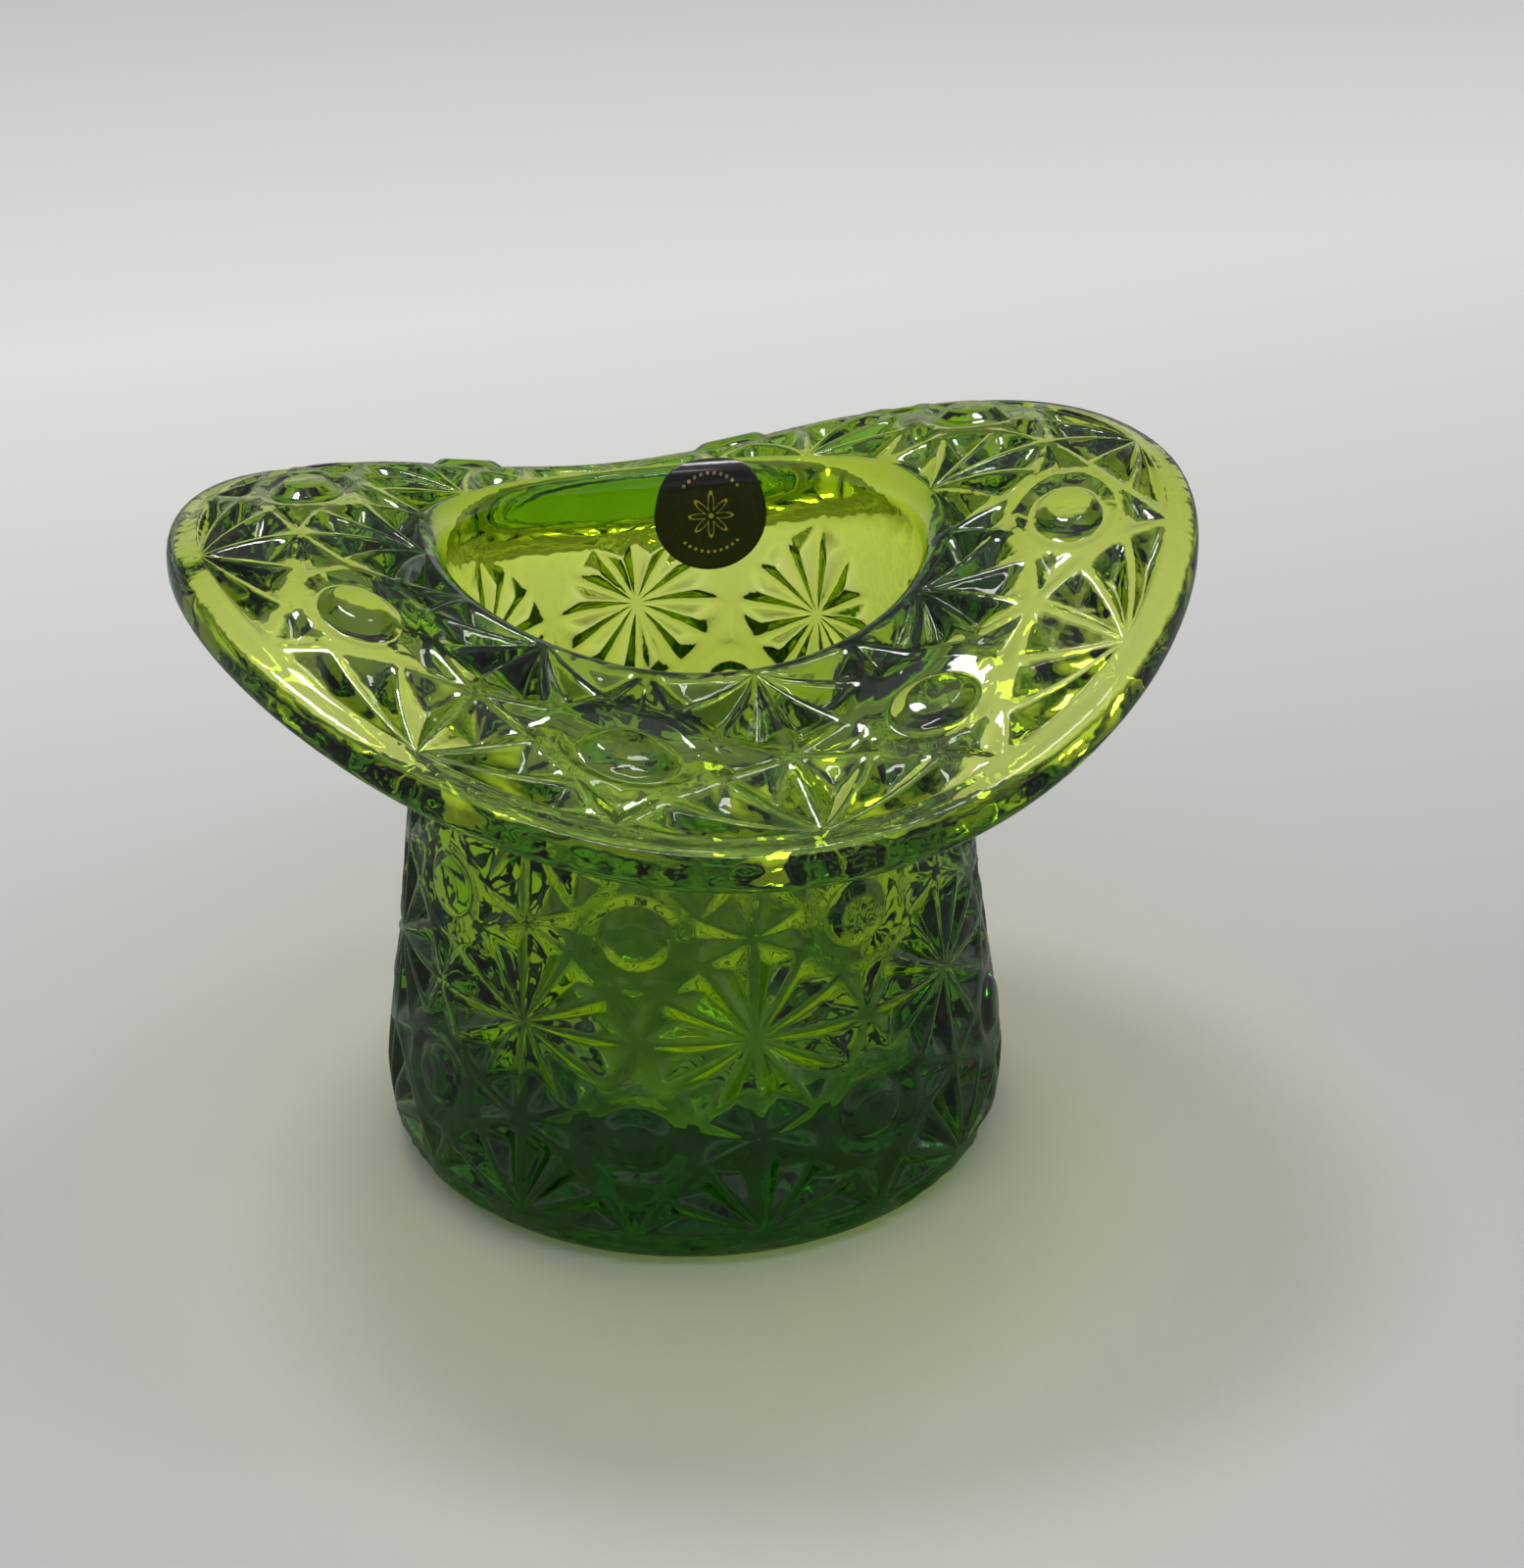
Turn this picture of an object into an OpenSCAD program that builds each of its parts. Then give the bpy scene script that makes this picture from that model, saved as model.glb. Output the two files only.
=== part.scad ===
// Pressed-glass hat that stands on its crown, with a star and button relief and a wavy brim,
// and one round foil label over the back of the mouth.
// Millimetres, +Z up, origin in the middle of the base; +X and -X are the raised sides of the brim.

/* [Crown] */
// Widest diameter of the crown, without the relief
crown_d = 57.2; // [52:0.2:62]
// Diameter of the neck under the brim, without the relief
neck_d = 48.8; // [46:0.2:51]
// Height of the widest place of the crown
waist_z = 8; // [6:0.5:10]
// How far the rounded foot draws in to the flat base
foot_round = 4.3; // [2:0.1:6]
// How far the crown draws in from its widest place down to the foot
foot_tuck = 0.25; // [0.1:0.05:0.6]
// Straight height of the neck above the middles of the top row of stars
neck_plain = 4; // [3:0.1:5]
// Thickness of the wall at the neck
wall = 3.8; // [2.8:0.1:4.5]
// Thickness of the floor
floor_t = 9; // [5:0.1:11]
// How much narrower in radius the hollow is at the floor than at the neck
draft = 1.2; // [0.4:0.1:2.5]
// Radius of the corner between wall and floor inside
floor_round = 7; // [3:0.5:9]

/* [Brim] */
// Diameter over the brim
brim_d = 89; // [84:0.5:98]
// Thickness of the brim at its rim
brim_t = 4; // [3:0.1:5]
// How much thicker the brim is at the mouth than at its rim
neck_extra = 0.6; // [0:0.1:1.5]
// Mean height of the mouth
mouth_z = 57.7; // [55:0.1:62]
// Height of the rounding from the inner wall to the mouth
roll_h = 3; // [2.4:0.1:4]
// Width of the rounding from the inner wall to the mouth
roll_w = 2; // [1.6:0.1:2.6]
// How far the rim is lower than the mouth, on average
brim_drop = 2.5; // [1:0.1:4]
// How far the middle of the brim bulges up
brim_dome = 2.4; // [0:0.1:3]
// How far the mouth rises at the sides and falls at front and back
mouth_wave = 2.1; // [0:0.1:3]
// How far the rim rises at the sides and falls at front and back
rim_wave = 6.7; // [2:0.1:8]
// How far the wave bulges between mouth and rim
wave_dome = 3.5; // [0:0.1:4]
// How far the rim is higher at the front and lower at the back
brim_tip = 2.2; // [0:0.1:3]
// How far the rim curls up again in the middle of the back
back_rise = 1; // [0:0.1:2]
// How much more the rim curls up to both sides of the back
back_wings = 5.6; // [0:0.1:7]
// Plain border between the relief and the middle of the rim
rim_border = 0.6; // [0.4:0.1:3]
// Reach of the hollow curve from the neck to the underside of the brim
neck_curve = 7; // [5:0.5:9]
// Turn of the brim's relief against that of the crown, in degrees
brim_turn = 3; // [-8:0.5:8]

/* [Relief] */
// Stars around the hat
stars = 8; // [6:2:10]
// Height of the middle row of stars
star_z = 22.8; // [22:0.1:24]
// Depth of the cuts between the ridges of a star
cut_depth = 0.9; // [0.3:0.05:1.1]
// Height of the buttons
button_h = 0.35; // [0.2:0.05:0.8]
// Rise from one row of stars to the next
star_pitch = 18.6; // [17.5:0.1:19]
// Width of a button's top, as a share of the star pitch
button_top = 0.2; // [0.14:0.01:0.22]
// Slope of a button's side, as a share of the star pitch
button_side = 0.06; // [0.02:0.005:0.065]
// How far the middle of the brim's relief sits out towards the rim
star_skew = 0.23; // [0:0.01:0.5]

/* [Label] */
// Diameter of the round label
label_d = 10.8; // [8:0.1:14]
// Thickness of the label
label_t = 0.2; // [0.1:0.05:0.4]
// Turn of the label from the back of the hat towards +X, in degrees
label_turn = 19; // [0:1:30]
// Clearance between the label and the glass
label_gap = 0.1; // [0.08:0.01:0.3]
// Distance from the label's upper edge to the mouth
label_drop = 0.4; // [0.3:0.1:2]

/* [Hidden] */

CROWN_CURVE = 1.3;
crown_r = crown_d / 2;
neck_r = neck_d / 2;
foot_z = star_z - star_pitch;
top_star_z = star_z + star_pitch;
neck_z = top_star_z + neck_plain;
foot_r = crown_r - foot_tuck;
base_r = foot_r - foot_round;
well_r = neck_r - wall;
mouth_r = well_r + roll_w;
rim_r = brim_d / 2 - brim_t / 2;
brim_w = rim_r - mouth_r;
border_t = 1 - rim_border / brim_w;
curve_t = (neck_r + neck_curve - mouth_r) / brim_w;
corner_z = floor_t + floor_round;
well_top = mouth_z - roll_h;
floor_r = well_r - draft;
label_r = label_d / 2;

// Radius of the crown at a height: widest at the waist, drawn in smoothly to the neck.
function crown_at(z) =
    z < waist_z
    ? crown_r - foot_tuck * pow((waist_z - z) / (waist_z - foot_z), 2)
    : neck_r + (crown_r - neck_r) * pow(max(0, 1 - (z - waist_z) / (neck_z - waist_z)), CROWN_CURVE);

// Radius of the hollow at a height above its rounded corner.
function well_at(z) = floor_r + draft * (z - corner_z) / (well_top - corner_z);

// Height of the top of the brim; t runs from 0 at the mouth to 1 at the rim.
function wave(phi) = cos(2 * phi);
function mean_z(t) = mouth_z + brim_dome * t - (brim_drop + brim_dome) * t * t;
function rise(t) = mouth_wave + (rim_wave - mouth_wave + wave_dome) * t - wave_dome * t * t;
function back(phi) = pow(max(0, sin(phi)), 2) * (back_rise + back_wings * pow(cos(phi), 2));
function tip(t, phi) = back(phi) * t * (2 - t) - brim_tip * t * sin(phi);
function top_z(t, phi) = mean_z(t) + rise(t) * wave(phi) + tip(t, phi);
function mean_slope(t) = brim_dome - 2 * (brim_drop + brim_dome) * t;
function rise_slope(t) = rim_wave - mouth_wave + wave_dome - 2 * wave_dome * t;
function tip_slope(t, phi) = 2 * back(phi) * (1 - t) - brim_tip * sin(phi);
function top_slope(t, phi) = (mean_slope(t) + rise_slope(t) * wave(phi) + tip_slope(t, phi)) / brim_w;
function brim_thick(t) = brim_t + neck_extra * (1 - t);
function under_z(t, phi) = top_z(t, phi) - brim_thick(t);

// Point of a quadratic curve through a and c that leaves towards b, and its direction.
function bend(a, b, c, s) = a * pow(1 - s, 2) + b * 2 * s * (1 - s) + c * pow(s, 2);
function bend_dir(a, b, c, s) = (b - a) * (1 - s) + (c - b) * s;

// The rounding of the mouth, from the inner wall up to the brim.
function roll_a(phi) = [well_at(top_z(0, phi) - roll_h), top_z(0, phi) - roll_h];
function roll_c(phi) = [mouth_r, top_z(0, phi)];
function roll_b(phi) = [roll_a(phi)[0], top_z(0, phi) - (mouth_r - roll_a(phi)[0]) * top_slope(0, phi)];

// The hollow curve from the neck to the underside of the brim.
function neck_c(phi) = [neck_r + neck_curve, under_z(curve_t, phi)];
function neck_b(phi) = [neck_r, under_z(curve_t, phi) - neck_curve * top_slope(curve_t, phi)];

// Radius and height of each kind of place on the section at an angle.
function foot_at(a) = [base_r + foot_round * sin(a), foot_z * (1 - cos(a))];
function crown_place(z) = [crown_at(z), z];
function neck_at(s, phi) = bend(crown_place(neck_z), neck_b(phi), neck_c(phi), s);
function under_at(t, phi) = [mouth_r + brim_w * t, under_z(t, phi)];
function rim_at(a, phi) =
    [rim_r + brim_t / 2 * cos(a), top_z(1, phi) - brim_t / 2 + brim_t / 2 * sin(a)];
function top_at(t, phi) = [mouth_r + brim_w * t, top_z(t, phi)];
function roll_at(s, phi) = bend(roll_a(phi), roll_b(phi), roll_c(phi), s);
function well_place(z) = [well_at(z), z];
function corner_at(a) =
    [floor_r - floor_round + floor_round * cos(a), corner_z - floor_round * sin(a)];

// The section is walked from the base outwards, up, over the rim and down to the floor.
STEPS = concat(
    [for (a = [0, 30, 60]) ["foot", a]],
    [for (z = [foot_z, star_z, top_star_z]) ["crown", z]],
    [for (f = [0, 0.35, 0.7]) ["under", curve_t + (1 - curve_t) * f]],
    [for (a = [-90:30:90]) ["rim", a]],
    [for (t = [border_t, 0]) ["top", t]],
    [for (s = [0.75, 0.5, 0.25, 0]) ["roll", s]],
    [for (f = [0.6, 0.3, 0]) ["well", f]],
    [for (a = [30, 60, 90]) ["corner", a]]
);
FIRST_STAR_STEP = 3;
BRIM_STEP = 16;

function place(step, phi) =
    step[0] == "foot" ? foot_at(step[1])
    : step[0] == "crown" ? crown_place(step[1])
    : step[0] == "under" ? under_at(step[1], phi)
    : step[0] == "rim" ? rim_at(step[1], phi)
    : step[0] == "top" ? top_at(step[1], phi)
    : step[0] == "roll" ? roll_at(step[1], phi)
    : step[0] == "well" ? well_place(corner_z + step[1] * (well_top - mouth_wave - corner_z))
    : corner_at(step[1]);

// Two bands of relief on the crown, one on the neck, of which only the lower half stars are cut, and
// one on the brim.
NECK_BAND = 2;
BRIM_BAND = 3;
plain_v = neck_plain / star_pitch;
sector = 360 / stars;
function turned(rz, phi) = [rz[0] * cos(phi), rz[0] * sin(phi), rz[1]];

// Lattice: u counts stars around, v runs from one row of stars to the next, lift is out of the glass.
function crown_spot(u, z, lift) = turned([crown_at(z) + lift, z], u * sector);
function brim_share(v) = border_t * (1 - (1 - star_skew) * v - star_skew * v * v);
function brim_spot(u, v, lift) =
    let (phi = u * sector + brim_turn)
    turned(top_at(brim_share(v), phi) + [0, lift], phi);
function neck_place(v, phi) =
    v < plain_v ? crown_place(top_star_z + v * star_pitch) : neck_at((v - plain_v) / (1 - plain_v), phi);
function neck_spot(u, v, lift) = turned(neck_place(v, u * sector) + [lift, 0], u * sector);
function spot(band, u, v, lift) =
    band < NECK_BAND ? crown_spot(u, foot_z + (band + v) * star_pitch, lift)
    : band == NECK_BAND ? neck_spot(u, v, lift)
    : brim_spot(u, v, lift);

// Each half star is a fan of thin ridges with pointed cuts between them: rays by angle, one along
// each cut and one along each of its sides, and rings by share of the way to the star's octagon.
// The corners are the rays that run through the corners of the octagon.
CUT_ANGLE = 30;
CUT_HALF = 11;
RAYS = concat(
    [0],
    [for (a = [CUT_ANGLE / 2:CUT_ANGLE:180]) each [a - CUT_HALF, a, a + CUT_HALF]],
    [180]
);
CORNERS = [3, 7, 12, 16];
RINGS = [0, 0.3, 0.7, 1];
DEPTHS = [0, 0.45, 1, 0];
LAST_RAY = len(RAYS) - 1;
LAST_RING = len(RINGS) - 1;
RING_SPOTS = 2 * LAST_RING;
LOOP = stars * RING_SPOTS;
corner_angle = RAYS[CORNERS[0]];
function fold(a) = abs(a - 90 * round(a / 90));
function octagon(a) =
    fold(a) <= corner_angle
    ? 0.5 / cos(fold(a))
    : 0.5 * (1 + tan(corner_angle)) * cos(45) / cos(fold(a) - 45);
function cut(a) = a % CUT_ANGLE == CUT_ANGLE / 2 ? 1 : 0;
function ray_u(m, k) = RINGS[k] * octagon(RAYS[m]) * cos(RAYS[m]);
function ray_v(m, k) = RINGS[k] * octagon(RAYS[m]) * sin(RAYS[m]);
function plain(band, side) = band == NECK_BAND && side == 1;
function ray_lift(band, side, m, k) = plain(band, side) ? 0 : -cut_depth * DEPTHS[k] * cut(RAYS[m]);
function button_lift(band) = band == NECK_BAND ? 0 : button_h;
function star_spot(band, i, side, m, k) =
    let (v = side == 0 ? ray_v(m, k) : 1 - ray_v(m, k))
    spot(band, i + ray_u(m, k), v, ray_lift(band, side, m, k));
function loop_u(i, k) = i + (k <= LAST_RING ? RINGS[k] / 2 : 1 - RINGS[RING_SPOTS - k] / 2);

// Points: the loops of the section, then for each band the stars' insides, edges and buttons.
INNER = (LAST_RAY - 1) * (LAST_RING - 1);
EDGE = LAST_RAY - 1;
BUTTON_EDGE = 16;
BUTTON = 1 + 2 * BUTTON_EDGE;
BAND = stars * (2 * INNER + 2 * EDGE + BUTTON);
function band_start(band) = len(STEPS) * LOOP + band * BAND;
function column(i) = (i + stars) % stars;
function loop_id(step, i, k) = step * LOOP + column(i) * RING_SPOTS + k;
function band_step(band) = band < BRIM_BAND ? FIRST_STAR_STEP + band : BRIM_STEP;
function inner_id(band, i, side, m, k) =
    band_start(band) + (column(i) * 2 + side) * INNER + (m - 1) * (LAST_RING - 1) + k - 1;
function edge_id(band, i, side, m) =
    m >= CORNERS[3] ? edge_id(band, i - 1, side, LAST_RAY - m)
    : side == 1 && m >= CORNERS[1] && m <= CORNERS[2] ? edge_id(band, i, 0, m)
    : band_start(band) + stars * 2 * INNER + (column(i) * 2 + side) * EDGE + m - 1;
function star_id(band, i, side, m, k) =
    k == 0 ? loop_id(band_step(band) + side, i, 0)
    : m == 0 ? loop_id(band_step(band) + side, i, k)
    : m == LAST_RAY ? loop_id(band_step(band) + side, i - 1, RING_SPOTS - k)
    : k < LAST_RING ? inner_id(band, i, side, m, k)
    : edge_id(band, i, side, m);
function button_id(band, i, n) = band_start(band) + stars * 2 * (INNER + EDGE) + column(i) * BUTTON + n;

// The square around a button, walked from its lower corner; each entry is column, side and ray.
SQUARE = concat(
    [for (m = [CORNERS[3]:-1:CORNERS[2] + 1]) [1, 0, m]],
    [for (m = [CORNERS[2]:1:CORNERS[3] - 1]) [1, 1, m]],
    [for (m = [CORNERS[0]:1:CORNERS[1] - 1]) [0, 1, m]],
    [for (m = [CORNERS[1]:-1:CORNERS[0] + 1]) [0, 0, m]]
);
function square_u(s) = s[0] + ray_u(s[2], LAST_RING) - 0.5;
function square_v(s) = (s[1] == 0 ? ray_v(s[2], LAST_RING) : 1 - ray_v(s[2], LAST_RING)) - 0.5;
function button_spot(band, i, s, r, lift) =
    let (d = norm([square_u(s), square_v(s)]))
    spot(band, i + 0.5 + r * square_u(s) / d, 0.5 + r * square_v(s) / d, lift);

// The upper half of the rim takes up the turn between the relief of the crown and that of the brim.
function step_turn(step) =
    step[0] == "foot" || step[0] == "crown" || step[0] == "under" ? 0
    : step[0] == "rim" ? brim_turn * max(0, step[1]) / 90
    : brim_turn;
function loop_points() =
    [for (step = STEPS) for (i = [0:stars - 1]) for (k = [0:RING_SPOTS - 1])
        let (phi = loop_u(i, k) * sector + step_turn(step)) turned(place(step, phi), phi)];
function band_points(band) = concat(
    [for (i = [0:stars - 1]) for (side = [0, 1]) for (m = [1:LAST_RAY - 1]) for (k = [1:LAST_RING - 1])
        star_spot(band, i, side, m, k)],
    [for (i = [0:stars - 1]) for (side = [0, 1]) for (m = [1:LAST_RAY - 1])
        star_spot(band, i, side, m, LAST_RING)],
    [for (i = [0:stars - 1]) each concat(
        [spot(band, i + 0.5, 0.5, button_lift(band))],
        [for (s = SQUARE) button_spot(band, i, s, button_top / 2, button_lift(band))],
        [for (s = SQUARE) button_spot(band, i, s, button_top / 2 + button_side, 0)]
    )]
);

// A four-cornered patch as two triangles.
function patch(a, b, c, d) = [[a, c, b], [a, d, c]];
function smooth_step(n) = n < FIRST_STAR_STEP || n > FIRST_STAR_STEP + NECK_BAND && n != BRIM_STEP;
function loop_faces() =
    [for (n = [0:len(STEPS) - 2]) if (smooth_step(n)) for (i = [0:stars - 1]) for (k = [0:RING_SPOTS - 1])
        let (j = k == RING_SPOTS - 1 ? [i + 1, 0] : [i, k + 1])
        each patch(
            loop_id(n, i, k),
            loop_id(n, j[0], j[1]),
            loop_id(n + 1, j[0], j[1]),
            loop_id(n + 1, i, k)
        )];
function facing(side, tri) = side == 0 ? tri : [tri[0], tri[2], tri[1]];
function star_faces(band) =
    [for (i = [0:stars - 1]) for (side = [0, 1]) for (m = [0:LAST_RAY - 1]) for (k = [0:LAST_RING - 1])
        let (
            a = star_id(band, i, side, m, k),
            b = star_id(band, i, side, m, k + 1),
            c = star_id(band, i, side, m + 1, k + 1),
            d = star_id(band, i, side, m + 1, k),
            two = cut(RAYS[m]) > cut(RAYS[m + 1]) ? patch(d, a, b, c) : patch(a, b, c, d)
        )
        each k == 0 ? [facing(side, [a, c, b])] : [for (tri = two) facing(side, tri)]];
function button_faces(band) =
    [for (i = [0:stars - 1]) for (n = [0:BUTTON_EDGE - 1])
        let (
            n2 = (n + 1) % BUTTON_EDGE,
            e = SQUARE[n],
            e2 = SQUARE[n2],
            rim1 = edge_id(band, i + e[0], e[1], e[2]),
            rim2 = edge_id(band, i + e2[0], e2[1], e2[2]),
            top1 = button_id(band, i, 1 + n),
            top2 = button_id(band, i, 1 + n2),
            low1 = button_id(band, i, 1 + BUTTON_EDGE + n),
            low2 = button_id(band, i, 1 + BUTTON_EDGE + n2)
        )
        each concat(
            [[button_id(band, i, 0), top2, top1]],
            patch(top1, low1, low2, top2),
            patch(low1, rim1, rim2, low2)
        )];
function base_face() = [[for (n = [0:LOOP - 1]) n]];
function floor_face() = [[for (n = [LOOP - 1:-1:0]) (len(STEPS) - 1) * LOOP + n]];

module glass_body() {
    color([0.55, 0.75, 0.12, 0.6])
        polyhedron(
            points = concat(loop_points(), [for (band = [0:BRIM_BAND]) each band_points(band)]),
            faces = concat(
                base_face(),
                floor_face(),
                loop_faces(),
                [for (band = [0:BRIM_BAND]) each star_faces(band)],
                [for (band = [0:BRIM_BAND]) each button_faces(band)]
            )
        );
}

// The label follows the inner wall and the rounding of the mouth; d is the way down from the mouth.
function roll_length(phi) =
    let (p = [for (s = [0:0.125:1]) roll_at(s, phi)])
    [for (n = [1:len(p) - 1]) norm(p[n] - p[n - 1])] * [for (n = [1:len(p) - 1]) 1];
function label_place(d, phi, off) =
    let (
        way = roll_length(phi),
        s = max(0, 1 - d / way),
        low = roll_a(phi),
        at = d < way ? roll_at(s, phi) : well_place(low[1] - (d - way)),
        dir = bend_dir(roll_a(phi), roll_b(phi), roll_c(phi), s)
    )
    at + [-dir[1], dir[0]] / norm(dir) * off;
// The flat facets of the hollow stand in from its round by at most this much.
ring_gap = max([for (k = [1:LAST_RING]) RINGS[k] - RINGS[k - 1]]);
facet_sag = mouth_r * (1 - cos(sector * ring_gap / 4));
label_seat = label_gap + facet_sag;
LABEL_RINGS = 5;
LABEL_RAYS = 32;
LABEL_SIDE = 1 + LABEL_RINGS * LABEL_RAYS;
function label_spot(x, y, off) =
    let (phi = 90 - label_turn - x / well_r * 180 / PI)
    turned(label_place(label_drop + label_r - y, phi, off), phi);
function label_points(off) = concat(
    [label_spot(0, 0, off)],
    [for (k = [1:LABEL_RINGS]) for (n = [0:LABEL_RAYS - 1])
        let (r = label_r * k / LABEL_RINGS, a = 360 * n / LABEL_RAYS)
        label_spot(r * cos(a), r * sin(a), off)]
);
function label_id(side, k, n) = side * LABEL_SIDE + (k == 0 ? 0 : 1 + (k - 1) * LABEL_RAYS + n % LABEL_RAYS);
function label_faces(side) =
    [for (k = [0:LABEL_RINGS - 1]) for (n = [0:LABEL_RAYS - 1])
        let (
            a = label_id(side, k, n),
            b = label_id(side, k + 1, n),
            c = label_id(side, k + 1, n + 1),
            d = label_id(side, k, n + 1)
        )
        each k == 0 ? [facing(side, [a, c, b])] : [for (tri = patch(a, b, c, d)) facing(side, tri)]];
function label_edge() =
    [for (n = [0:LABEL_RAYS - 1])
        each patch(
            label_id(1, LABEL_RINGS, n),
            label_id(1, LABEL_RINGS, n + 1),
            label_id(0, LABEL_RINGS, n + 1),
            label_id(0, LABEL_RINGS, n)
        )];

module foil_label() {
    color([0.08, 0.08, 0.08])
        polyhedron(
            points = concat(label_points(label_seat + label_t), label_points(label_seat)),
            faces = concat(label_faces(0), label_faces(1), label_edge())
        );
}

glass_body();
foil_label();
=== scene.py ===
"""Pressed-glass hat that stands on its crown, with a star and button relief, a wavy brim and a foil
label over the back of the mouth. Sizes are in millimetres until a mesh is made."""

import bpy
import numpy as np
from mathutils import Matrix, Vector


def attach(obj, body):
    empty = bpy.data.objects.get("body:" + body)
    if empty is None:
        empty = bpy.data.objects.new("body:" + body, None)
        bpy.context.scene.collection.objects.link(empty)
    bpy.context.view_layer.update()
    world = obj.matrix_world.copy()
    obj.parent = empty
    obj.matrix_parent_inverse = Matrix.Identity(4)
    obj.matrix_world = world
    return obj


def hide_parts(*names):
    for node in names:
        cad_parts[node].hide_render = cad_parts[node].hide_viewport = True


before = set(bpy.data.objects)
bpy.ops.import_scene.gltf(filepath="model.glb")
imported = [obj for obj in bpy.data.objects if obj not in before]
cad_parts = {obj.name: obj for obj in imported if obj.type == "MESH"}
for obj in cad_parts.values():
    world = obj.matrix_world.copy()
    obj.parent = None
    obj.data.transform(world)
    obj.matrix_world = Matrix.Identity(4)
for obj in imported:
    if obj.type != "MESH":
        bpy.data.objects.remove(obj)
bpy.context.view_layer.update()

MM, MERGE_DIGITS = 0.001, 4

# Crown: widest radius, the neck's radius, height of the widest place, power of the curve above it.
CROWN_R, NECK_R, WAIST_Z, CROWN_CURVE = 28.6, 24.4, 8.0, 1.3
# Foot: width of its rounding, how far the crown is drawn in there, height of the rounding.
FOOT_ROUND, FOOT_TUCK, FOOT_Z = 4.3, 0.25, 4.2
BASE_R = CROWN_R - FOOT_TUCK - FOOT_ROUND
# Pattern: stars around, rise from one row to the next, straight part of the neck above the top row.
STARS, STAR_PITCH, NECK_PLAIN = 8, 18.6, 4.0
TOP_STAR_Z = FOOT_Z + 2 * STAR_PITCH
NECK_Z = TOP_STAR_Z + NECK_PLAIN
# Hollow: radius at its top, thickness of the floor, draft, rounding at the floor.
WELL_R, FLOOR_T, DRAFT, FLOOR_ROUND = 20.6, 9.0, 1.2, 7.0
FLOOR_R, CORNER_Z = WELL_R - DRAFT, FLOOR_T + FLOOR_ROUND
# Mouth: mean height, height of its rounding, radius where the brim starts. It is a trace lower than
# the solid's, so that the finer surface stays inside its box.
MOUTH_Z, ROLL_H, MOUTH_R = 57.6, 3.0, 22.6
WELL_TOP = MOUTH_Z - ROLL_H
# Brim: thickness at the rim, what it gains towards the neck, radius of the rim's middle, and how
# square the rim's section is.
BRIM_T, NECK_EXTRA, RIM_R, RIM_SQUARE = 4.0, 0.6, 42.5, 0.7
BRIM_W = RIM_R - MOUTH_R
# Height of the brim's top: drop and dome from mouth to rim, tip to the front, curl of the back in
# its middle and to both sides, then the wave at the mouth, at the rim and its dome.
BRIM_DROP, BRIM_DOME, BRIM_TIP, BACK_RISE, BACK_WINGS = 2.5, 2.4, 2.2, 1.0, 5.6
MOUTH_WAVE, RIM_WAVE, WAVE_DOME = 2.1, 6.7, 3.5
# Width of the plain border and reach of the neck's curve, and where they end, as shares of the
# brim's width. Then how much longer the pattern gets inwards, and its turn against the crown's.
BORDER_W, NECK_CURVE = 0.6, 7.0
BORDER_T, CURVE_T = 1 - BORDER_W / BRIM_W, (NECK_R + NECK_CURVE - MOUTH_R) / BRIM_W
STAR_SKEW, BRIM_TURN = 0.23, np.radians(3)
# Label: radius, thickness, gap to the glass, way below the mouth's edge, turn from the back to +X.
LABEL_R, LABEL_T, LABEL_SEAT, LABEL_DROP, LABEL_TURN = 5.4, 0.2, 0.17, 0.4, np.radians(19)

# Relief, with lengths across the surface as shares of the star pitch. The star's outline has twelve
# corners, at STAR_TIP on the upright and level axes and at STAR_SIDE between.
STAR_TIP, STAR_SIDE, TWELFTH = 0.5, 0.45, np.pi / 6
STAR_SLANT = np.arctan2(STAR_TIP - STAR_SIDE * np.cos(TWELFTH), STAR_SIDE * np.sin(TWELFTH))
# Cuts: depth in millimetres, then where along a ray they are deepest and where they end.
CUT_DEPTH, CUT_PEAK, CUT_END = 0.95, 0.72, 0.955
# Ridges: half width at the centre, its growth outwards, and the rounding of their edges.
RIDGE_LEAST, RIDGE_GROW, RIDGE_ROUND = 0.008, 0.035, 0.14
# Pits around a button: depth in millimetres, base, deepest place, half width of the ridge beside.
PIT_DEPTH, PIT_BASE, PIT_PEAK, ARM_HALF = 0.7, 0.25, 0.31, 0.016
# Roundings of the crease along a pit and of the corner where its faces meet its end.
CREASE, CORNER = 0.003, 0.004
# Button: radii and the heights at them, in millimetres.
BUTTON_R, BUTTON_LIFT = (0.0, 0.097, 0.165, 0.215), (0.35, 0.35, -0.4, 0.0)
# The depth of the cuts on the crown and on the brim and the height of the brim's buttons, as
# multiples, the height of a mould seam in millimetres, and the angle over which the foot's cuts
# fade in.
CROWN_DEEP, BRIM_DEEP, BRIM_BUTTON = 1.25, 1.75, 1.5
SEAM, FOOT_FADE = 0.05, 0.6

# Ways across half a cut: 0 is its middle, 1 its edge and 2 the middle of the ridge.
HALF_CUT = np.array([0.12, 0.5, 0.88, 1.25, 2.0])
CUT_WAYS = np.concatenate([-HALF_CUT[-2::-1], [0.0], HALF_CUT])
# Shares of the way from a star's centre to its outline, and where they meet the line of its row.
RINGS = np.array([0, 0.1, 0.22, 0.38, 0.54, 0.66, 0.73, 0.80, 0.86, 0.91, 0.955, 1.0])
COLUMNS = np.concatenate([RINGS, 2 - RINGS[-2:0:-1]]) * STAR_TIP
LOOP = np.concatenate([(np.arange(STARS)[:, None] + COLUMNS).ravel(), [STARS]]) * 2 * np.pi / STARS
# Least way along a ray and least half width of a cut, which keep the rays apart near the centre.
ALONG_LEAST, WIDE_LEAST = 0.01, 0.04
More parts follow.
